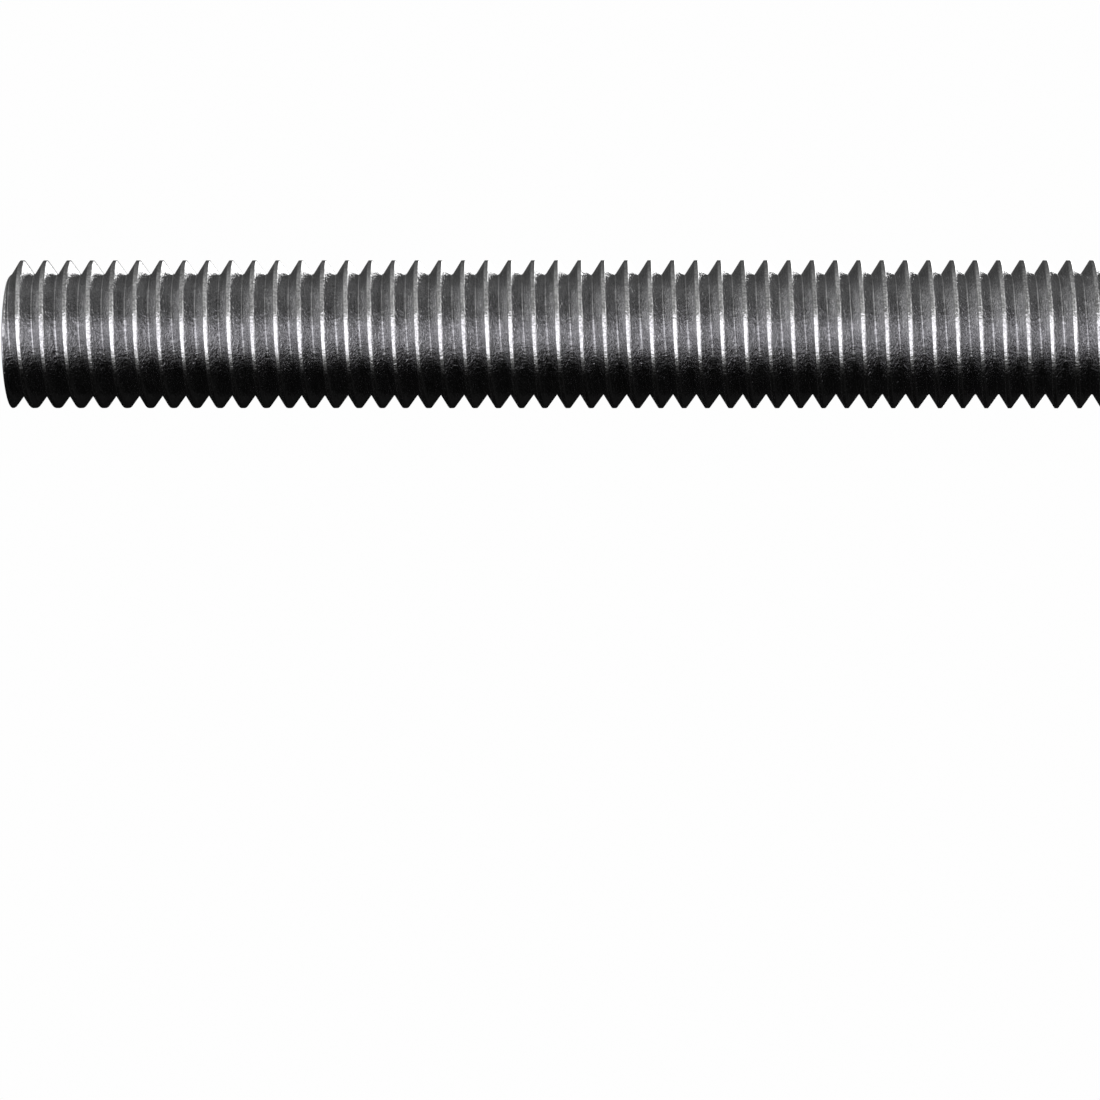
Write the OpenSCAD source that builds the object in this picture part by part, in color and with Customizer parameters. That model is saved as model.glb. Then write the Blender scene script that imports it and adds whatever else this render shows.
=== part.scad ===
// Threaded rod: a straight steel bar with an external screw thread over its
// whole length and both ends sawn square. It stands upright on its lower end,
// which is centred on the origin; the axis of the rod is +Z.
//
// The thread is one helical sweep. Its profile has a narrow crest flat, two
// straight flanks and a narrow root flat, and it repeats once every pitch.
// The sweep is made longer than the rod and two flat cuts trim it to length,
// so the thread runs out at each end face the way a sawn rod shows it.

/* [Rod] */
// Length from end face to end face
rod_len = 100; // [20:1:110]
// Direction in which the crest meets the upper end face, seen from above
crest_dir = 175; // [0:1:359]

/* [Thread] */
// Diameter over the crests
major_d = 7.93; // [6:0.01:10]
// Distance along the axis from one crest to the next
pitch = 1.25; // [1.15:0.05:1.75]
// Depth of the groove from crest to root
thread_depth = 0.735; // [0.5:0.005:0.75]
// Angle between the two flanks of a groove
flank_angle = 60; // [50:1:60]
// Width of the flat left on top of the crest
crest_w = 0.18; // [0.1:0.01:0.22]

/* [Surface] */
// Flat segments in one turn of the thread
facets = 16; // [12:4:16]

/* [Hidden] */

crest_r = major_d / 2;
root_r = crest_r - thread_depth;
flank_w = thread_depth * tan(flank_angle / 2);
root_w = pitch - crest_w - 2 * flank_w;

// Profile of one pitch as [height, radius], counted from the crest's middle
profile = [
    [-crest_w / 2, crest_r],
    [crest_w / 2, crest_r],
    [crest_w / 2 + flank_w, root_r],
    [crest_w / 2 + flank_w + root_w, root_r]
];
corners = len(profile);

// The sweep starts between one and two pitches below the lower end, at the
// height that brings the crest to crest_dir on the upper end
start_turn = rod_len / pitch - crest_dir / 360;
start_z = (start_turn - floor(start_turn) - 2) * pitch;
turns = ceil(rod_len / pitch) + 3;
steps = turns * facets;

// Point k of the profile after i segments of the sweep
function sweep_point(i, k) =
    let (a = 360 * (i % facets) / facets, p = profile[k])
    [p[1] * cos(a), p[1] * sin(a), start_z + pitch * i / facets + p[0]];

// Index of that point. The corner after the last one is the first corner of
// the turn above, which closes the surface between neighbouring turns
function index(i, k) = k == corners ? corners * (i + facets) : corners * i + k;

// Two triangles between segment i and the next, along side k of the profile
function side_pair(i, k) = [
    [index(i, k), index(i, k + 1), index(i + 1, k + 1)],
    [index(i, k), index(i + 1, k + 1), index(i + 1, k)]
];

// A right-hand thread, closed at each end by a cone that the cuts remove
module thread_sweep() {
    last = steps + facets;
    below = corners * (last + 1);
    above = below + 1;
    points = concat(
        [for (i = [0:last], k = [0:corners - 1]) sweep_point(i, k)],
        [[0, 0, start_z - pitch], [0, 0, sweep_point(last, 0)[2] + pitch]]
    );
    walls = [for (i = [0:steps - 1], k = [0:corners - 1]) each side_pair(i, k)];
    lower_cone = [for (i = [0:facets - 1]) [below, index(i, 0), index(i + 1, 0)]];
    lower_step = [for (k = [0:corners - 1]) [below, index(0, k + 1), index(0, k)]];
    upper_cone = [for (i = [steps:last - 1]) [above, index(i + 1, 0), index(i, 0)]];
    upper_step = [for (k = [0:corners - 1]) [above, index(steps, k), index(steps, k + 1)]];
    polyhedron(
        points,
        concat(walls, lower_cone, lower_step, upper_cone, upper_step),
        convexity = 10
    );
}

// The bar between the two saw cuts
module threaded_rod() {
    color([0.62, 0.62, 0.65])
    intersection() {
        thread_sweep();
        translate([-major_d, -major_d, 0])
            cube([2 * major_d, 2 * major_d, rod_len]);
    }
}

threaded_rod();
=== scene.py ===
"""A steel threaded rod: its rolled thread, its sawn ends, and the studio."""

import logging
import math
from dataclasses import dataclass, field
from enum import Enum

import bmesh
import bpy
from mathutils import Matrix, Vector


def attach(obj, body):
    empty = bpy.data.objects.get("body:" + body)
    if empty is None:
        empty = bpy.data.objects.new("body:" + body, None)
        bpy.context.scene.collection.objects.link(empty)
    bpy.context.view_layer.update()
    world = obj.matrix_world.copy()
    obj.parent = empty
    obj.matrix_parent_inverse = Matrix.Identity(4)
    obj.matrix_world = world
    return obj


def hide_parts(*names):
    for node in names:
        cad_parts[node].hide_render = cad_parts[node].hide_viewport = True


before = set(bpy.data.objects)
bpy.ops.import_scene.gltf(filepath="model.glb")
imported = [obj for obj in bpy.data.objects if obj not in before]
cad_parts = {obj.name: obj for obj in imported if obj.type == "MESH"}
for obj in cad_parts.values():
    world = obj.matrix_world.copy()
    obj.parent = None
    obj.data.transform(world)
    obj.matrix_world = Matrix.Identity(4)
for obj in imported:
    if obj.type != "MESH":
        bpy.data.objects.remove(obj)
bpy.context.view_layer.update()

LOG = logging.getLogger("threaded_rod")
MM = 0.001
FULL_TURN = 360.0
Colour = tuple[float, float, float]
Socket = bpy.types.NodeSocket
Operand = Socket | float


class RodEnd(Enum):
    """The two sawn ends of the rod."""

    LOWER = "lower"
    UPPER = "upper"


@dataclass(frozen=True)
class Ramp:
    """A smooth step from one range of values to another."""

    low: float
    high: float
    to_low: float = 0.0
    to_high: float = 1.0

    def moved(self, by: float) -> "Ramp":
        """The same step, with its input range moved."""
        return Ramp(self.low + by, self.high + by, self.to_low, self.to_high)


@dataclass(frozen=True)
class Noise:
    """A noise pattern."""

    scale: float
    detail: float
    roughness: float = 0.5
    distortion: float = 0.0


class Graph:
    """Adds nodes to one node tree and wires them by plain calls."""

    def __init__(self, tree: bpy.types.NodeTree) -> None:
        """Keeps the tree.

        Args:
            tree: The shader or geometry tree to fill.
        """
        self.tree = tree

    def node(self, kind: str, wired: dict[str | int, object] | None = None,
             **settings: object) -> bpy.types.Node:
        """Adds a node.

        Args:
            kind: The node's type name.
            wired: Input name or number to a socket to link or a value to set.
            settings: Properties of the node itself.

        Returns:
            The new node.
        """
        made = self.tree.nodes.new(kind)
        for name, value in settings.items():
            setattr(made, name, value)
        for name, value in (wired or {}).items():
            self.feed(made.inputs[name], value)
        return made

    def feed(self, target: Socket, value: object) -> None:
        """Links a socket to an input, or sets the input's own value.

        Args:
            target: The input.
            value: The socket to link, or the value to set.
        """
        if isinstance(value, bpy.types.NodeSocket):
            self.tree.links.new(value, target)
        else:
            target.default_value = value

    def math(self, operation: str, *values: Operand) -> Socket:
        """Adds a Math node.

        Args:
            operation: The operation's identifier.
            values: One to three sockets or numbers.

        Returns:
            The node's result.
        """
        return self.node("ShaderNodeMath", dict(enumerate(values)),
                         operation=operation).outputs[0]

    def total(self, first: Operand, *others: Operand) -> Operand:
        """Adds values up.

        Args:
            first: The first socket or number.
            others: The sockets or numbers to add to it.

        Returns:
            The sum.
        """
        for value in others:
            first = self.math("ADD", first, value)
        return first

    def product(self, first: Operand, *others: Operand) -> Operand:
        """Multiplies values.

        Args:
            first: The first socket or number.
            others: The sockets or numbers to multiply it by.

        Returns:
            The product.
        """
        for value in others:
            first = self.math("MULTIPLY", first, value)
        return first

    def whole(self, operation: str, *values: Socket | int) -> Socket:
        """Adds an Integer Math node.

        Args:
            operation: The operation's identifier.
            values: Two sockets or whole numbers.

        Returns:
            The node's result.
        """
        return self.node("FunctionNodeIntegerMath", dict(enumerate(values)),
                         operation=operation).outputs[0]

    def ramp(self, value: Socket, step: Ramp) -> Socket:
        """Maps a range smoothly onto another.

        Args:
            value: The input.
            step: The two ranges.

        Returns:
            The mapped value.
        """
        return self.node("ShaderNodeMapRange", {
            "Value": value, "From Min": step.low, "From Max": step.high,
            "To Min": step.to_low, "To Max": step.to_high,
        }, interpolation_type="SMOOTHSTEP").outputs["Result"]

    def noise(self, place: Socket, pattern: Noise,
              fourth: Socket | None = None) -> Socket:
        """Adds a noise texture.

        Args:
            place: The place to read the pattern at.
            pattern: The pattern.
            fourth: The place on a fourth axis, where there is one.

        Returns:
            The pattern's value.
        """
        wired = {"Vector": place, "Scale": pattern.scale,
                 "Detail": pattern.detail, "Roughness": pattern.roughness,
                 "Distortion": pattern.distortion}
        axes = "3D"
        if fourth is not None:
            wired["W"], axes = fourth, "4D"
        return self.node("ShaderNodeTexNoise", wired,
                         noise_dimensions=axes).outputs["Fac"]

    def parts(self, vector: Socket) -> list[Socket]:
        """The three parts of a vector."""
        return list(self.node("ShaderNodeSeparateXYZ", {0: vector}).outputs)

    def pick(self, share: Socket, first: Operand, second: Operand) -> Socket:
        """Mixes two levels by a share."""
        return self.node("ShaderNodeMix",
                         {0: share, 2: first, 3: second}).outputs[0]

    def blend(self, share: Socket, first: object, second: object) -> Socket:
        """Mixes two colours by a share."""
        return self.node("ShaderNodeMix", {0: share, 6: first, 7: second},
                         data_type="RGBA").outputs[2]

    def choose(self, switch: Socket, no: Operand, yes: Operand) -> Socket:
        """Takes one of two numbers by a switch.

        Args:
            switch: The switch.
            no: The number for off.
            yes: The number for on.

        Returns:
            The number taken.
        """
        return self.node("GeometryNodeSwitch", {
            "Switch": switch, "False": no, "True": yes},
            input_type="FLOAT").outputs[0]


def rgba(colour: Colour) -> tuple[float, float, float, float]:
    """Adds full opacity to a colour."""
    return (*colour, 1.0)


def new_shader(name: str) -> tuple[bpy.types.Material, Graph, bpy.types.Node]:
    """Makes an empty node material.

    Args:
        name: The material's name.

    Returns:
        The material, its graph and its output node.
    """
    material = bpy.data.materials.new(name)
    material.use_nodes = True
    material.node_tree.nodes.clear()
    graph = Graph(material.node_tree)
    return material, graph, graph.node("ShaderNodeOutputMaterial")


@dataclass(frozen=True)
class ThreadSize:
    """Sizes of the rod and its thread, in metres and in degrees."""

    length: float = 100.0 * MM
    major_d: float = 7.96 * MM
    depth: float = 0.75 * MM
    pitch: float = 1.25 * MM
    upper_flank: float = 32.0
    lower_flank: float = 36.0
    crest_flat: float = 0.19 * MM
    crest_dir: float = 175.0
    upper_edge: float = 0.03 * MM
    lower_edge: float = 0.03 * MM
    root_edge: float = 0.045 * MM
    edge_break: float = 0.05 * MM
    segments: int = 56
    spare_turns: int = 2

    @property
    def crest_r(self) -> float:
        """Radius over the crests."""
        return self.major_d / 2

    @property
    def root_r(self) -> float:
        """Radius at the bottom of the groove."""
        return self.crest_r - self.depth

    @property
    def start_z(self) -> float:
        """Height at which the crest line begins, under the lower end."""
        turn = self.length / self.pitch - self.crest_dir / FULL_TURN
        return (turn - math.floor(turn) - self.spare_turns) * self.pitch

    @property
    def columns(self) -> int:
        """Segments along the whole crest line."""
        turns = math.ceil(self.length / self.pitch) + self.spare_turns
        return turns * self.segments


@dataclass(frozen=True)
class RolledSteel:
    """Bright steel as a rolled thread shows it: fine lines along the thread
    and a small grain pressed into flanks and crests. Its ramps at the root
    and at the crest count in millimetres from that radius."""

    size: ThreadSize
    colour: Colour = (0.636, 0.636, 0.642)
    worn_colour: Colour = (0.646, 0.646, 0.646)
    # Painted shade: the steel's colour darkens towards the thread's root,
    # where shade falls in the groove.
    root_shade_colour: Colour = (0.615, 0.615, 0.62)
    root_shade_share: float = 0.25
    mottle_share: float = 0.9
    speck_share: float = 0.27
    roughness: float = 0.045
    upward_roughness: float = 0.081
    line_roughness: float = 0.03
    grain_height: float = 0.045 * MM
    line_height: float = 0.006 * MM

    grain: Noise = Noise(6.3, 1.1, 0.5, 0.7)
    specks: Noise = Noise(9.0, 1.0, 0.5, 0.4)
    patches: Noise = Noise(0.9, 2.0)
    lines: Noise = Noise(1.0, 2.0, 0.6)
    lines_along: float = 0.45
    lines_across: float = 22.0
    lines_climb: float = 2.2

    facing_up: Ramp = Ramp(-0.3, 0.5)
    grain_by_patch: Ramp = Ramp(0.35, 0.65, 0.82, 1.0)
    grain_by_facing: Ramp = Ramp(0.0, 1.0, 0.95, 1.08)
    grain_at_root: Ramp = Ramp(0.0, 0.08, 0.5, 1.0)
    grain_at_crest: Ramp = Ramp(-0.08, -0.02, 1.0, 0.44)
    grain_by_height: Ramp = Ramp(45.0, 95.0, 1.15, 0.86)
    grain_by_side: Ramp = Ramp(0.78, 0.94, 1.0, 0.4)
    wear_at_crest: Ramp = Ramp(-0.05, -0.01)
    # Painted shade: how far from the root radius the painted groove shade
    # reaches, in millimetres.
    painted_shade_at_root: Ramp = Ramp(0.0, 0.35, 1.0, 0.0)
    mottling: Ramp = Ramp(0.3, 0.7)
    specks_shown: Ramp = Ramp(0.38, 0.62)
    lines_shown: Ramp = Ramp(0.35, 0.65)

    def build(self) -> bpy.types.Material:
        """Makes the material.

        Returns:
            The material, on Object coordinates.
        """
        material, graph, out = new_shader("rolled_steel")
        place = graph.node("ShaderNodeTexCoord").outputs
        in_mm = graph.node("ShaderNodeVectorMath",
                           {0: place["Object"], "Scale": 1 / MM},
                           operation="SCALE").outputs[0]
        x, y, z = graph.parts(in_mm)
        radius = graph.math("SQRT", graph.math(
            "ADD", graph.math("MULTIPLY", x, x), graph.math("MULTIPLY", y, y)))
        upward = graph.ramp(graph.parts(place["Normal"])[2], self.facing_up)
        patches = graph.noise(in_mm, self.patches)

        # Lines along the thread: fine across the flank, long along the turn
        along = graph.node("ShaderNodeCombineXYZ", {
            0: graph.math("MULTIPLY", x, self.lines_along),
            1: graph.math("MULTIPLY", y, self.lines_along),
            2: graph.math("MULTIPLY", radius, self.lines_across)}).outputs[0]
        lines = graph.noise(along, self.lines,
                            graph.math("MULTIPLY", z, self.lines_climb))

        share = self.grain_share(graph, patches, upward, radius, x, z)
        height = graph.math(
            "ADD",
            graph.product(graph.noise(in_mm, self.grain), share,
                          self.grain_height),
            graph.math("MULTIPLY", lines, self.line_height))
        bump = graph.node("ShaderNodeBump", {
            "Strength": 1.0, "Distance": 1.0, "Height": height})
        rough = graph.math(
            "ADD",
            graph.ramp(upward, Ramp(0.0, 1.0, self.roughness,
                                    self.upward_roughness)),
            graph.math("MULTIPLY", lines, self.line_roughness))
        surface = graph.node("ShaderNodeBsdfPrincipled", {
            "Base Color": self.shaded(graph, patches, lines, in_mm, radius),
            "Metallic": 1.0, "Roughness": rough, "Normal": bump.outputs[0]})
        graph.feed(out.inputs["Surface"], surface.outputs[0])
        return material

    def grain_share(self, graph: Graph, patches: Socket, upward: Socket,
                    radius: Socket, x: Socket, z: Socket) -> Socket:
        """Share of the grain's full height at each place: less at the root,
        on the crest and along the +X side, finer towards the upper end.

        Args:
            graph: The tree to build in.
            patches: The broad pattern.
            upward: How far the surface faces up.
            radius: Millimetres from the axis.
            x: Millimetres towards +X.
            z: Millimetres above the lower end.

        Returns:
            The share.
        """
        root, crest = self.size.root_r / MM, self.size.crest_r / MM
        return graph.product(
            graph.ramp(patches, self.grain_by_patch),
            graph.ramp(upward, self.grain_by_facing),
            graph.ramp(radius, self.grain_at_root.moved(root)),
            graph.ramp(radius, self.grain_at_crest.moved(crest)),
            graph.ramp(z, self.grain_by_height),
            graph.ramp(graph.math("DIVIDE", x, radius), self.grain_by_side))

    def shaded(self, graph: Graph, patches: Socket, lines: Socket,
               in_mm: Socket, radius: Socket) -> Socket:
        """Colour of the steel, a little darker at fine lines and specks, with
        painted shade darkening it towards the thread's root.

        Args:
            graph: The tree to build in.
            patches: The broad pattern.
            lines: The pattern along the thread.
            in_mm: The place in millimetres.
            radius: Millimetres from the axis.

        Returns:
            The colour.
        """
        root, crest = self.size.root_r / MM, self.size.crest_r / MM
        mottled = graph.blend(
            graph.ramp(patches, self.mottling), rgba(self.colour),
            rgba(tuple(self.mottle_share * c for c in self.colour)))
        # Painted shade: a darker colour blended in towards the root of the
        # groove.
        painted_root_shade = graph.ramp(radius, self.painted_shade_at_root.moved(root))
        root_shaded = graph.blend(
            graph.math("MULTIPLY", painted_root_shade, self.root_shade_share), mottled,
            rgba(self.root_shade_colour))
        on_crest = graph.ramp(radius, self.wear_at_crest.moved(crest))
        bright = graph.blend(on_crest, root_shaded, rgba(self.worn_colour))
        specks = graph.noise(in_mm, self.specks)
        shade = graph.math("SUBTRACT", 1.0, graph.math(
            "MULTIPLY", self.speck_share, graph.math(
                "ADD", graph.ramp(specks, self.specks_shown),
                graph.ramp(lines, self.lines_shown))))
        return graph.node("ShaderNodeVectorMath", {
            0: bright, "Scale": shade}, operation="SCALE").outputs[0]


@dataclass(frozen=True)
class SawnSteel:
    """Bare steel as a saw leaves it, with fine lines across the cut."""

    colour: Colour = (0.50, 0.50, 0.51)
    line_share: float = 0.78
    roughness: float = 0.26
    crossing_roughness: float = 0.40
    line_height: float = 0.004 * MM
    lines: Noise = Noise(1.0, 3.0, 0.65)
    lines_turned: float = 31.0
    lines_per_mm: tuple[float, float] = (0.5, 11.0)
    crossing: Noise = Noise(1.0, 2.0)
    crossing_turned: float = -12.0
    crossing_per_mm: tuple[float, float] = (0.3, 4.0)
    lines_shown: Ramp = Ramp(0.35, 0.7)

    def build(self) -> bpy.types.Material:
        """Makes the material.

        Returns:
            The material, on Object coordinates.
        """
        material, graph, out = new_shader("sawn_steel")
        place = graph.node("ShaderNodeTexCoord").outputs["Object"]
        lines = graph.noise(self.strokes(
            graph, place, self.lines_turned, self.lines_per_mm), self.lines)
        crossing = graph.noise(self.strokes(
            graph, place, self.crossing_turned, self.crossing_per_mm),
            self.crossing)
        height = graph.math("MULTIPLY", graph.math("ADD", lines, crossing),
                            self.line_height)
        bump = graph.node("ShaderNodeBump", {
            "Strength": 1.0, "Distance": 1.0, "Height": height})
        tint = graph.blend(
            graph.ramp(lines, self.lines_shown), rgba(self.colour),
            rgba(tuple(self.line_share * c for c in self.colour)))
        rough = graph.ramp(crossing, Ramp(0.3, 0.7, self.roughness,
                                          self.crossing_roughness))
        surface = graph.node("ShaderNodeBsdfPrincipled", {
            "Base Color": tint, "Metallic": 1.0, "Roughness": rough,
            "Normal": bump.outputs[0]})
        graph.feed(out.inputs["Surface"], surface.outputs[0])
        return material

    @staticmethod
    def strokes(graph: Graph, place: Socket, turned: float,
                per_mm: tuple[float, float]) -> Socket:
        """Stretches the place into strokes across the cut.

        Args:
            graph: The tree to build in.
            place: The place on the piece.
            turned: Direction of the strokes in degrees.
            per_mm: Steps in a millimetre, along and across the strokes.

        Returns:
            The stretched place.
        """
        along, across = per_mm[0] / MM, per_mm[1] / MM
        return graph.node("ShaderNodeMapping", {
            "Vector": place, "Rotation": (0.0, 0.0, math.radians(turned)),
            "Scale": (along, across, along)}).outputs[0]


@dataclass
class ThreadTree:
    """The geometry tree that winds the thread and closes its two ends."""

    graph: Graph = field(init=False)
    sizes: dict[str, Socket] = field(init=False)
    rings: int = 6
    merge_distance: float = 1e-7
    least_share: float = 0.1

    FLOATS = ("Rod Length", "Crest Radius", "Root Radius", "Pitch",
              "Crest Flat", "Upper Slope", "Lower Slope", "Upper Edge",
              "Lower Edge", "Root Edge", "Edge Break", "Start Height")
    WHOLES = ("Segments", "Columns")
    FINISHES = ("Thread Steel", "End Steel")
    # Rows from crest to crest: crest, edge, flank, root, flank, edge, crest
    ROWS = (1, 4, 2, 6, 2, 4, 1)
    # How far the rows of an edge reach past its round, as a share of it
    OVERLAP = 1.5

    def build(self) -> bpy.types.NodeTree:
        """Makes the tree.

        Returns:
            The finished geometry tree.
        """
        tree = bpy.data.node_groups.new("rolled_thread", "GeometryNodeTree")
        for kind, names in (("Float", self.FLOATS), ("Int", self.WHOLES),
                            ("Material", self.FINISHES)):
            for name in names:
                tree.interface.new_socket(name, in_out="INPUT",
                                          socket_type="NodeSocket" + kind)
        tree.interface.new_socket("Rod", in_out="OUTPUT",
                                  socket_type="NodeSocketGeometry")
        self.graph = Graph(tree)
        self.sizes = {s.name: s for s in
                      self.graph.node("NodeGroupInput").outputs if s.name}
        parts = [self.wall(), self.end(RodEnd.LOWER), self.end(RodEnd.UPPER)]
        joined = self.graph.node("GeometryNodeJoinGeometry")
        for part in reversed(parts):
            self.graph.feed(joined.inputs[0], part)
        merged = self.graph.node("GeometryNodeMergeByDistance", {
            "Geometry": joined.outputs[0], "Distance": self.merge_distance})
        real = self.graph.node("GeometryNodeRealizeInstances",
                               {"Geometry": merged.outputs[0]})
        smooth = self.graph.node("GeometryNodeSetShadeSmooth",
                                 {"Geometry": real.outputs[0]})
        self.graph.node("NodeGroupOutput", {0: smooth.outputs[0]})
        return tree

    def radius_at(self, height: Socket, turn: Socket) -> Socket:
        """Radius of the thread's surface.

        Args:
            height: Height above the lower end.
            turn: Direction around the rod, as a share of a turn.

        Returns:
            The radius there, crest, flank or root.
        """
        graph, size = self.graph, self.sizes
        climbed = graph.math("DIVIDE", graph.math(
            "SUBTRACT", height, size["Start Height"]), size["Pitch"])
        share = graph.math("FRACT", graph.math("SUBTRACT", climbed, turn))
        above = graph.math("MULTIPLY", share, size["Pitch"])
        below = graph.math("SUBTRACT", size["Pitch"], above)
        half_flat = graph.math("MULTIPLY", size["Crest Flat"], 0.5)
        flanks = [graph.math("ADD", size["Crest Radius"], graph.math(
            "DIVIDE", graph.math("SUBTRACT", half_flat, away), slope))
            for away, slope in ((above, size["Upper Slope"]),
                                (below, size["Lower Slope"]))]
        groove = graph.math("SMOOTH_MAX", graph.math("MAXIMUM", *flanks),
                            size["Root Radius"], size["Root Edge"])
        is_lower = graph.math("GREATER_THAN", share, 0.5)
        edge = graph.choose(is_lower, size["Upper Edge"], size["Lower Edge"])
        return graph.math("SMOOTH_MIN", groove, size["Crest Radius"], edge)

    def flank_mark(self, slope: Socket, deep: Operand, reach: Socket,
                   side: float) -> Socket:
        """Distance from the crest line to a mark on one flank.

        Args:
            slope: The flank's slope.
            deep: Depth under the crest of the bend near the mark.
            reach: How far outwards or inwards of the bend the mark is.
            side: -1 for outwards of the bend, 1 for inwards of it.

        Returns:
            The distance along the axis.
        """
        graph = self.graph
        half_flat = graph.math("MULTIPLY", self.sizes["Crest Flat"], 0.5)
        low = graph.math("MULTIPLY_ADD", reach, side, deep)
        return graph.math(
            "MAXIMUM", graph.math("MULTIPLY", half_flat, self.least_share),
            graph.math("MULTIPLY_ADD", low, slope, half_flat))

    def climb_at(self, row: Socket) -> Operand:
        """Height of a row above its crest line, with the rows close together
        where the surface bends and far apart on the flanks.

        Args:
            row: The row's number, with crest lines at the first and the last.

        Returns:
            The height that the row gains within one pitch.
        """
        graph, size, outer, inner = self.graph, self.sizes, -1.0, 1.0
        depth = graph.math("SUBTRACT", size["Crest Radius"],
                           size["Root Radius"])
        upper_reach, lower_reach, root_reach = (
            graph.math("MULTIPLY", size[edge], self.OVERLAP)
            for edge in ("Upper Edge", "Lower Edge", "Root Edge"))
        up, down = size["Upper Slope"], size["Lower Slope"]
        rising = [self.flank_mark(up, 0.0, upper_reach, outer),
                  self.flank_mark(up, 0.0, upper_reach, inner),
                  self.flank_mark(up, depth, root_reach, outer)]
        falling = [graph.math("SUBTRACT", size["Pitch"], mark) for mark in (
            self.flank_mark(down, depth, root_reach, outer),
            self.flank_mark(down, 0.0, lower_reach, inner),
            self.flank_mark(down, 0.0, lower_reach, outer))]
        gained, first, low = 0.0, 0, 0.0
        for rows, mark in zip(self.ROWS, [*rising, *falling, size["Pitch"]]):
            share = graph.node("ShaderNodeMapRange", {
                "Value": row, "From Min": float(first),
                "From Max": float(first + rows)}).outputs["Result"]
            gained = graph.math("MULTIPLY_ADD", share,
                                graph.math("SUBTRACT", mark, low), gained)
            first, low = first + rows, mark
        return gained

    def set_places(self, mesh: Socket, radius: Socket, turn: Socket,
                   height: Socket) -> Socket:
        """Moves every vertex to its place around the rod's axis.

        Args:
            mesh: The mesh to move.
            radius: Distance from the axis.
            turn: Direction around the axis, as a share of a turn.
            height: Height above the lower end.

        Returns:
            The moved mesh.
        """
        graph = self.graph
        angle = graph.math("MULTIPLY", turn, math.tau)
        place = graph.node("ShaderNodeCombineXYZ", {
            0: graph.math("MULTIPLY", radius, graph.math("COSINE", angle)),
            1: graph.math("MULTIPLY", radius, graph.math("SINE", angle)),
            2: height}).outputs[0]
        return graph.node("GeometryNodeSetPosition", {
            "Geometry": mesh, "Position": place}).outputs[0]

    def grid(self, columns: Socket, rows: int
             ) -> tuple[Socket, Socket, Socket]:
        """Makes a flat grid and numbers its vertices.

        Args:
            columns: Faces along the first side.
            rows: Faces along the second side.

        Returns:
            The mesh, each vertex's column and each vertex's row.
        """
        graph = self.graph
        across = graph.whole("ADD", rows, 1)
        mesh = graph.node("GeometryNodeMeshGrid", {
            "Vertices X": graph.whole("ADD", columns, 1),
            "Vertices Y": across}).outputs[0]
        index = graph.node("GeometryNodeInputIndex").outputs[0]
        return (mesh, graph.whole("DIVIDE_FLOOR", index, across),
                graph.whole("MODULO", index, across))

    def turn_at(self, column: Socket) -> Socket:
        """Direction of a column around the rod.

        Args:
            column: The column's number.

        Returns:
            The direction, as a share of a turn.
        """
        segments = self.sizes["Segments"]
        return self.graph.math("DIVIDE", self.graph.whole(
            "MODULO", column, segments), segments)

    def dress(self, mesh: Socket, finish: str) -> Socket:
        """Gives a mesh the finish of one of the tree's inputs."""
        return self.graph.node("GeometryNodeSetMaterial", {
            "Geometry": mesh, "Material": self.sizes[finish]}).outputs[0]

    def wall(self) -> Socket:
        """Winds the thread's surface from end to end.

        Returns:
            The open, threaded wall in its finish.
        """
        graph, size = self.graph, self.sizes
        mesh, column, row = self.grid(size["Columns"], sum(self.ROWS))
        turn = self.turn_at(column)
        climbed = graph.math("DIVIDE", column, size["Segments"])
        height = graph.math("MULTIPLY_ADD", climbed, size["Pitch"], graph.math(
            "ADD", size["Start Height"], self.climb_at(row)))
        top = graph.math("SUBTRACT", size["Rod Length"], size["Edge Break"])
        kept = graph.math("MINIMUM", top, graph.math(
            "MAXIMUM", height, size["Edge Break"]))
        wound = self.set_places(mesh, self.radius_at(kept, turn), turn, kept)
        return self.dress(wound, "Thread Steel")

    def end(self, which: RodEnd) -> Socket:
        """Closes one end with its sawn face and its broken edge.

        Args:
            which: The end to close.

        Returns:
            The end face in its finish.
        """
        graph, size, edge = self.graph, self.sizes, self.sizes["Edge Break"]
        mesh, column, ring = self.grid(size["Segments"], self.rings)
        turn = self.turn_at(column)
        if which is RodEnd.UPPER:
            face = size["Rod Length"]
            rim = graph.math("SUBTRACT", face, edge)
        else:
            face = graph.math("MULTIPLY", edge, 0.0)
            rim = edge
        outline = self.radius_at(rim, turn)
        # Rings count outwards: the face up to its border, then the rim
        border_ring, rim_ring = self.rings - 1, self.rings
        inner = graph.math("SUBTRACT", outline, edge)
        share = graph.math("DIVIDE", ring, float(border_ring - 1))
        flat = graph.math("MULTIPLY", graph.math(
            "SUBTRACT", inner, edge), graph.math("MINIMUM", share, 1.0))
        at_border, at_rim = (graph.node("FunctionNodeCompare", {
            "A": ring, "B": number - 0.5}, operation="GREATER_THAN").outputs[0]
            for number in (border_ring, rim_ring))
        flat = graph.choose(at_border, flat, inner)
        radius = graph.choose(at_rim, flat, outline)
        height = graph.choose(at_rim, face, rim)
        return self.dress(self.set_places(mesh, radius, turn, height),
                          "End Steel")


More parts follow.
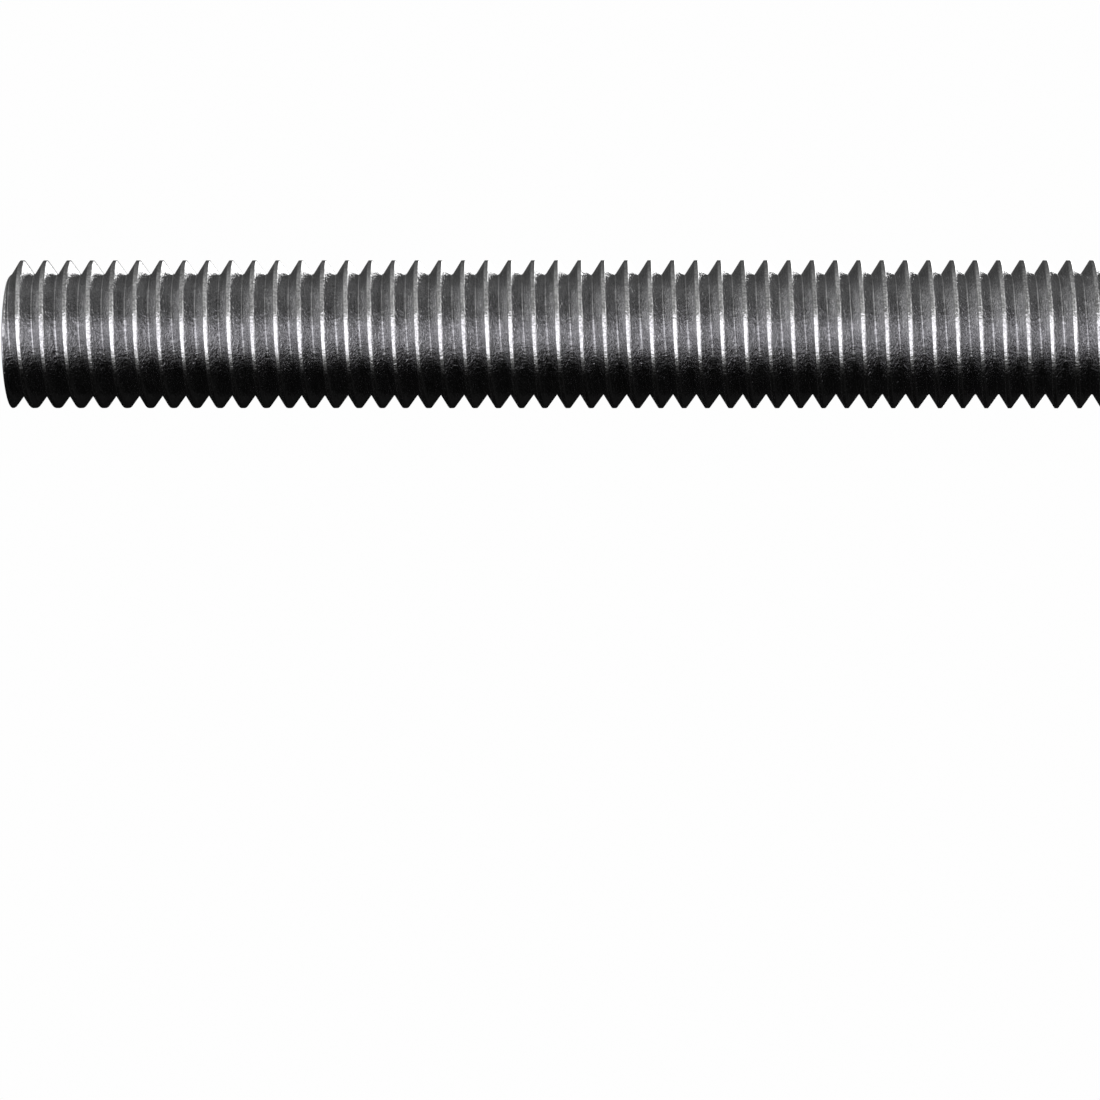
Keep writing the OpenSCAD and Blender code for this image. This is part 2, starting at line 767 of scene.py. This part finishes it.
@dataclass
class ThreadedRod:
    """The rod: one bar with a rolled thread and two sawn ends."""

    size: ThreadSize = field(default_factory=ThreadSize)
    name: str = "threaded_bar"
    flat_limit: float = 1e-8

    def inputs(self) -> dict[str, object]:
        """Gathers what the tree needs.

        Returns:
            The tree's inputs by name.
        """
        size = self.size
        return {
            "Rod Length": size.length,
            "Crest Radius": size.crest_r,
            "Root Radius": size.root_r,
            "Pitch": size.pitch,
            "Crest Flat": size.crest_flat,
            "Upper Slope": math.tan(math.radians(size.upper_flank)),
            "Lower Slope": math.tan(math.radians(size.lower_flank)),
            "Upper Edge": size.upper_edge,
            "Lower Edge": size.lower_edge,
            "Root Edge": size.root_edge,
            "Edge Break": size.edge_break,
            "Start Height": size.start_z,
            "Segments": size.segments,
            "Columns": size.columns,
            "Thread Steel": RolledSteel(size).build(),
            "End Steel": SawnSteel().build(),
        }

    def build(self) -> bpy.types.Object:
        """Makes the rod as a plain, closed mesh on the root body.

        Returns:
            The finished piece.
        """
        seed = bpy.data.meshes.new(self.name + "_seed")
        rod = bpy.data.objects.new(self.name, seed)
        bpy.context.scene.collection.objects.link(rod)
        winding = rod.modifiers.new("thread", "NODES")
        winding.node_group = ThreadTree().build()
        values = self.inputs()
        for item in winding.node_group.interface.items_tree:
            if item.in_out == "INPUT":
                winding[item.identifier] = values[item.name]
        view = bpy.context.evaluated_depsgraph_get()
        rod.data = bpy.data.meshes.new_from_object(
            rod.evaluated_get(view), preserve_all_data_layers=True,
            depsgraph=view)
        rod.data.name = self.name
        rod.modifiers.clear()
        bpy.data.meshes.remove(seed)
        self.face_outwards(rod.data)
        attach(rod, "root")
        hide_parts("threaded_rod")
        return rod

    def face_outwards(self, mesh: bpy.types.Mesh) -> None:
        """Drops what the merging left flat and turns the faces outwards.

        Args:
            mesh: The rod's mesh.
        """
        work = bmesh.new()
        work.from_mesh(mesh)
        bmesh.ops.dissolve_degenerate(work, dist=self.flat_limit,
                                      edges=work.edges)
        bmesh.ops.recalc_face_normals(work, faces=work.faces)
        open_edges = sum(1 for e in work.edges if not e.is_manifold)
        volume = work.calc_volume(signed=True)
        if volume < 0:
            bmesh.ops.reverse_faces(work, faces=work.faces)
        work.to_mesh(mesh)
        work.free()
        LOG.info("closed mesh: %d open edges, %.1f mm3", open_edges,
                 abs(volume) / MM ** 3)


@dataclass(frozen=True)
class Direction:
    """A direction seen from the rod, in degrees: its turn from the front
    towards +X, its rise above level and its tilt away from level."""

    turn: Socket
    rise: Socket
    tilt: Socket


@dataclass(frozen=True)
class Surround:
    """What the steel sees around it, by direction: a white front panel, a
    grey upper side, a dark lower side and a white wall low behind the rod."""

    # The panel: where it begins and ends, by rise, and how it fades there
    panel_level: float = 2.28
    panel_far_level: float = 0.74
    panel_colour: Colour = (0.99, 0.975, 1.03)
    panel_from: Ramp = Ramp(5.0, 35.0, -33.3, -26.3)
    panel_to: Ramp = Ramp(8.0, 14.0, 25.5, 21.5)
    panel_soft: float = 9.5
    panel_soft_by_tilt: float = 0.6
    panel_to_fade: Ramp = Ramp(-10.0, 10.0, 1.0, 0.0)
    panel_foot: Ramp = Ramp(-22.0, -5.0)
    panel_head: Ramp = Ramp(24.0, 34.0, 1.0, 0.0)
    panel_shade: Ramp = Ramp(12.0, 26.0, 1.0, 0.84)
    low_gain: Ramp = Ramp(-30.0, -15.0, 1.7, 0.0)
    low_gain_side: Ramp = Ramp(-15.0, 12.0)

    # The grey side: darker far round, brighter low down, darker high up
    grey_level: float = 0.50
    grey_from: Ramp = Ramp(-20.0, 0.0)
    grey_by_turn: tuple[Ramp, ...] = (
        Ramp(75.0, 140.0, 0.0, -0.32), Ramp(140.0, 160.0, 0.0, -0.10))
    grey_by_rise: tuple[Ramp, ...] = (
        Ramp(-24.0, -11.0, 1.95, 0.0), Ramp(-7.0, 6.0, -0.30, 0.27),
        Ramp(6.0, 16.0, 0.0, -0.46), Ramp(16.0, 34.0, 0.0, -0.38))
    grey_by_rise_side: Ramp = Ramp(76.0, 98.0, 1.0, 0.0)

    # The dark side, with a faint light spilt on to it from the panel
    dark_level: Ramp = Ramp(8.0, 20.0, 0.006, 0.012)
    spill: Ramp = Ramp(-75.0, -36.0, 0.0, 0.50)
    spill_by_tilt: Ramp = Ramp(12.0, 22.0, 1.0, 0.5)

    # The wall: its upper border sinks from behind the rod to its side
    wall_level: float = 2.6
    wall_turn: float = 165.0
    wall_top: float = -3.0
    wall_slope: float = 0.8
    wall_back_rise: Ramp = Ramp(168.0, 174.0, 0.0, 3.0)
    wall_fade: Ramp = Ramp(-2.5, 2.5, 1.0, 0.0)
    wall_side: Ramp = Ramp(106.0, 120.0)
    wall_foot: Ramp = Ramp(-47.0, -38.0)

    # White straight above and straight below
    dome_level: float = 0.90
    dome: Ramp = Ramp(72.0, 86.0)

    def level(self, graph: Graph, x: Socket, y: Socket,
              rise: Socket) -> tuple[Socket, Socket]:
        """Brightness of the surround in one direction.

        Args:
            graph: The tree to build in.
            x: The direction's first part.
            y: The direction's second part.
            rise: Degrees above level.

        Returns:
            The level, and the front panel's share in it.
        """
        turn = graph.math("DEGREES", graph.math(
            "ARCTAN2", x, graph.math("MULTIPLY", y, -1.0)))
        way = Direction(turn, rise, graph.math("ABSOLUTE", rise))
        front = self.front(graph, way)
        level = graph.pick(graph.ramp(turn, self.grey_from),
                           self.dark_side(graph, way),
                           self.grey_side(graph, way))
        level = graph.pick(self.back_wall(graph, way), level, self.wall_level)
        level = graph.pick(front, level, self.panel(graph, way))
        return graph.pick(graph.ramp(way.tilt, self.dome), level,
                          self.dome_level), front

    def front(self, graph: Graph, way: Direction) -> Socket:
        """Where the front panel is. Its first border softens away from level.

        Args:
            graph: The tree to build in.
            way: The direction.

        Returns:
            The panel's share.
        """
        soft = graph.math("MULTIPLY_ADD", way.tilt, self.panel_soft_by_tilt,
                          self.panel_soft)
        past = graph.math("DIVIDE", graph.math(
            "SUBTRACT", way.turn, graph.ramp(way.rise, self.panel_from)), soft)
        beyond = graph.math("SUBTRACT", way.turn,
                            graph.ramp(way.rise, self.panel_to))
        return graph.math("MULTIPLY", graph.ramp(past, Ramp(-1.0, 1.0)),
                          graph.ramp(beyond, self.panel_to_fade))

    def panel(self, graph: Graph, way: Direction) -> Socket:
        """How bright the front panel is, high and low in it too.

        Args:
            graph: The tree to build in.
            way: The direction.

        Returns:
            The panel's level.
        """
        near = graph.math("MULTIPLY", graph.ramp(way.rise, self.panel_foot),
                          graph.ramp(way.rise, self.panel_head))
        gain = graph.math("MULTIPLY", graph.ramp(way.rise, self.low_gain),
                          graph.ramp(way.turn, self.low_gain_side))
        far = graph.math("MULTIPLY_ADD", gain, self.panel_far_level,
                         self.panel_far_level)
        return graph.math("MULTIPLY", graph.pick(near, far, self.panel_level),
                          graph.ramp(way.rise, self.panel_shade))

    def grey_side(self, graph: Graph, way: Direction) -> Socket:
        """How bright the grey upper side is.

        Args:
            graph: The tree to build in.
            way: The direction.

        Returns:
            The grey side's level.
        """
        by_turn = graph.total(self.grey_level, *(
            graph.ramp(way.turn, step) for step in self.grey_by_turn))
        by_rise = graph.total(*(
            graph.ramp(way.rise, step) for step in self.grey_by_rise))
        return graph.math("MULTIPLY", by_turn, graph.math(
            "MULTIPLY_ADD", by_rise,
            graph.ramp(way.turn, self.grey_by_rise_side), 1.0))

    def dark_side(self, graph: Graph, way: Direction) -> Socket:
        """How bright the dark lower side is.

        Args:
            graph: The tree to build in.
            way: The direction.

        Returns:
            The dark side's level.
        """
        spill = graph.math("MULTIPLY",
                           graph.ramp(way.tilt, self.spill_by_tilt),
                           graph.ramp(way.turn, self.spill))
        return graph.math("MULTIPLY_ADD", spill, spill,
                          graph.ramp(way.tilt, self.dark_level))

    def back_wall(self, graph: Graph, way: Direction) -> Socket:
        """Where the white wall low behind the rod is.

        Args:
            graph: The tree to build in.
            way: The direction.

        Returns:
            The wall's share.
        """
        border = graph.math("MULTIPLY_ADD", graph.math(
            "SUBTRACT", way.turn, self.wall_turn), self.wall_slope,
            self.wall_top)
        border = graph.math(
            "ADD", graph.math("MINIMUM", border, self.wall_top),
            graph.ramp(way.turn, self.wall_back_rise))
        under = graph.math("SUBTRACT", way.rise, border)
        return graph.product(graph.ramp(under, self.wall_fade),
                             graph.ramp(way.turn, self.wall_side),
                             graph.ramp(way.rise, self.wall_foot))


@dataclass(frozen=True)
class Studio:
    """The pale floor and the white surround."""

    floor_side: float = 1.6
    floor_colour: Colour = (0.86, 0.86, 0.86)
    floor_fade: Ramp = Ramp(0.08, 0.45)
    white: float = 0.99
    rod_middle: float = 0.07
    surround: Surround = field(default_factory=Surround)

    def build(self) -> None:
        """Makes the floor and the world."""
        self.floor()
        self.world()

    def glow(self, graph: Graph, kind: str, x: Socket, y: Socket,
             rise: Socket) -> tuple[Socket, Socket]:
        """Light of the surround for what the steel reflects, and plain white
        for all else.

        Args:
            graph: The tree to build in.
            kind: Type name of the node that gives the light.
            x: The direction's first part.
            y: The direction's second part.
            rise: Degrees above level.

        Returns:
            The surround's light and the plain white.
        """
        level, front = self.surround.level(graph, x, y, rise)
        tint = graph.blend(front, rgba((1.0, 1.0, 1.0)),
                           rgba(self.surround.panel_colour))
        light = graph.node(kind, {"Color": tint, "Strength": level})
        plain = graph.node(kind, {"Color": rgba((self.white,) * 3),
                                  "Strength": 1.0})
        return light.outputs[0], plain.outputs[0]

    def floor(self) -> bpy.types.Object:
        """Makes the floor that the rod stands on, which fades to the plain
        white away from the rod's shadow. In reflections it glows instead with
        painted surround light: a dark side, a grey side and a white wall.

        Returns:
            The floor, marked as stage.
        """
        half = self.floor_side / 2
        mesh = bpy.data.meshes.new("floor")
        mesh.from_pydata([(-half, -half, 0), (half, -half, 0),
                          (half, half, 0), (-half, half, 0)],
                         [], [(0, 1, 2, 3)])
        floor = bpy.data.objects.new("floor", mesh)
        bpy.context.scene.collection.objects.link(floor)
        material, graph, out = new_shader("pale_floor")
        place = graph.node("ShaderNodeTexCoord").outputs["Object"]
        away = graph.node("ShaderNodeVectorMath", {0: place},
                          operation="LENGTH").outputs["Value"]
        x, y, _ = graph.parts(place)
        rise = graph.math("DEGREES", graph.math(
            "ARCTAN2", -self.rod_middle, away))
        light, plain = self.glow(graph, "ShaderNodeEmission", x, y, rise)
        path = graph.node("ShaderNodeLightPath").outputs
        seen = graph.math("MAXIMUM", path["Is Camera Ray"],
                          path["Is Transmission Ray"])
        fade = graph.math("MULTIPLY", graph.ramp(away, self.floor_fade), seen)
        matt = graph.node("ShaderNodeBsdfDiffuse",
                          {"Color": rgba(self.floor_colour)})
        mixed = graph.node("ShaderNodeMixShader", {
            0: fade, 1: matt.outputs[0], 2: plain})
        # Painted reflection: for glossy rays the floor glows with the
        # surround's light, laid out by direction from the rod's middle.
        mixed = graph.node("ShaderNodeMixShader", {
            0: path["Is Glossy Ray"], 1: mixed.outputs[0], 2: light})
        graph.feed(out.inputs["Surface"], mixed.outputs[0])
        mesh.materials.append(material)
        return floor

    def world(self) -> None:
        """Makes the world: the surround for what the steel reflects, and
        plain white for the camera and for the light on the floor."""
        world = bpy.data.worlds.new("studio")
        bpy.context.scene.world = world
        world.use_nodes = True
        world.node_tree.nodes.clear()
        graph = Graph(world.node_tree)
        towards = graph.node("ShaderNodeTexCoord").outputs["Generated"]
        x, y, z = graph.parts(towards)
        rise = graph.math("DEGREES", graph.math("ARCSINE", z))
        light, plain = self.glow(graph, "ShaderNodeBackground", x, y, rise)
        path = graph.node("ShaderNodeLightPath").outputs
        mixed = graph.node("ShaderNodeMixShader", {
            0: path["Is Glossy Ray"], 1: plain, 2: light})
        graph.node("ShaderNodeOutputWorld", {"Surface": mixed.outputs[0]})


@dataclass(frozen=True)
class PhotoCamera:
    """The camera where the photograph was taken from."""

    place: Vector = field(default_factory=lambda: Vector(
        (-11.625 * MM, -312.0 * MM, 50.594 * MM)))
    target: Vector = field(default_factory=lambda: Vector(
        (-11.592 * MM, 0.0, 56.179 * MM)))
    roll: float = -0.00066
    shift: float = -0.25
    focal_px: float = 5807.2
    frame_px: float = 1100.0
    sensor: float = 36.0
    nearest: float = 0.01
    farthest: float = 10.0

    def build(self) -> bpy.types.Object:
        """Makes the camera, turned so that the rod lies across the frame
        with its upper end at the left.

        Returns:
            The camera object.
        """
        data = bpy.data.cameras.new("photo_camera")
        data.sensor_width = self.sensor
        data.lens = self.focal_px * self.sensor / self.frame_px
        data.clip_start, data.clip_end = self.nearest, self.farthest
        data.shift_x = self.shift
        data.dof.use_dof = False
        camera = bpy.data.objects.new("photo_camera", data)
        bpy.context.scene.collection.objects.link(camera)
        ahead = (self.target - self.place).normalized()
        right = ahead.cross(Vector((1.0, 0.0, 0.0))).normalized()
        up = right.cross(ahead)
        turn = Matrix.Rotation(self.roll, 3, ahead)
        right, up = turn @ right, turn @ up
        axes = Matrix((right, up, -ahead)).transposed().to_4x4()
        camera.matrix_world = Matrix.Translation(self.place) @ axes
        bpy.context.scene.camera = camera
        return camera


def main() -> None:
    """Builds the rod, the studio and the camera in order."""
    logging.basicConfig(level=logging.INFO, format="%(name)s: %(message)s")
    bpy.context.scene.view_settings.view_transform = "Standard"
    rod = ThreadedRod().build()
    triangles = sum(len(p.vertices) - 2 for p in rod.data.polygons)
    LOG.info("%s: %d triangles", rod.name, triangles)
    Studio().build()
    PhotoCamera().build()


if __name__ == "__main__":
    main()
